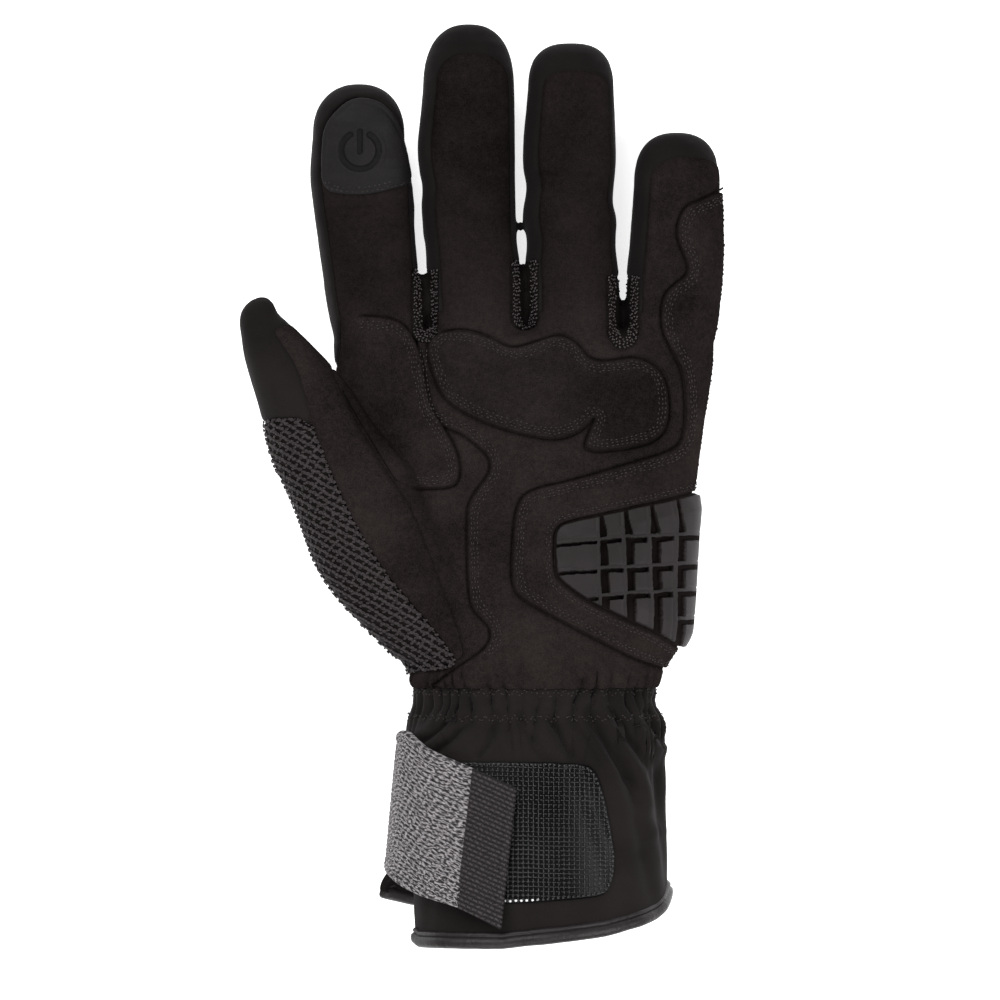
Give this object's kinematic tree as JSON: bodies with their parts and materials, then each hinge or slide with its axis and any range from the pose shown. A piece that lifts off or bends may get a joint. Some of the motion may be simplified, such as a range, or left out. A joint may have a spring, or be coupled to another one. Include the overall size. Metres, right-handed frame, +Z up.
{
  "type": "motorcycle glove",
  "caption": "Left-hand motorcycle glove lying palm up: suede palm with a rubber tread slider, softshell back and cuff, elastic wrist and a loose wrist strap.",
  "frame": {"origin": "centre of the glove's plan at the surface it lies on", "axes": "+Y from the cuff to the fingertips, +X from the thumb to the little finger, +Z up out of the palm; the glove lies on its back"},
  "size_m": [0.144, 0.276, 0.058],
  "materials": {
    "suede": "matt dark brown-black suede",
    "softshell": "smooth black softshell cloth",
    "knit": "coarse ribbed stretch knit",
    "smooth_leather": "smooth satin leather",
    "slider_rubber": "moulded dark grey rubber",
    "hook_plastic": "glossy black moulded hook field",
    "melange_webbing": "grey melange webbing",
    "basket_weave": "dark grey basket weave"
  },
  "bodies": {
    "root": {"palm_panel": "suede", "back_panel": "softshell", "thumb_back_panel": "softshell", "index_finger_back": "softshell", "middle_finger_back": "softshell", "ring_finger_back": "softshell", "little_finger_back": "softshell", "thumb_palm_panel": "suede", "thumb_knit_panel": "knit", "knit_gusset_index_middle": "knit", "knit_gusset_middle_ring": "knit", "knit_gusset_ring_little": "knit", "knuckle_pad": "suede", "thumb_crotch_patch": "suede", "heel_patch": "suede", "touch_patch": "smooth_leather", "palm_slider": "slider_rubber", "gauntlet_cuff": "softshell", "hem_binding": "smooth_leather", "hook_patch": "hook_plastic", "strap": "melange_webbing", "strap_tab": "basket_weave"}
  },
  "joints": []
}
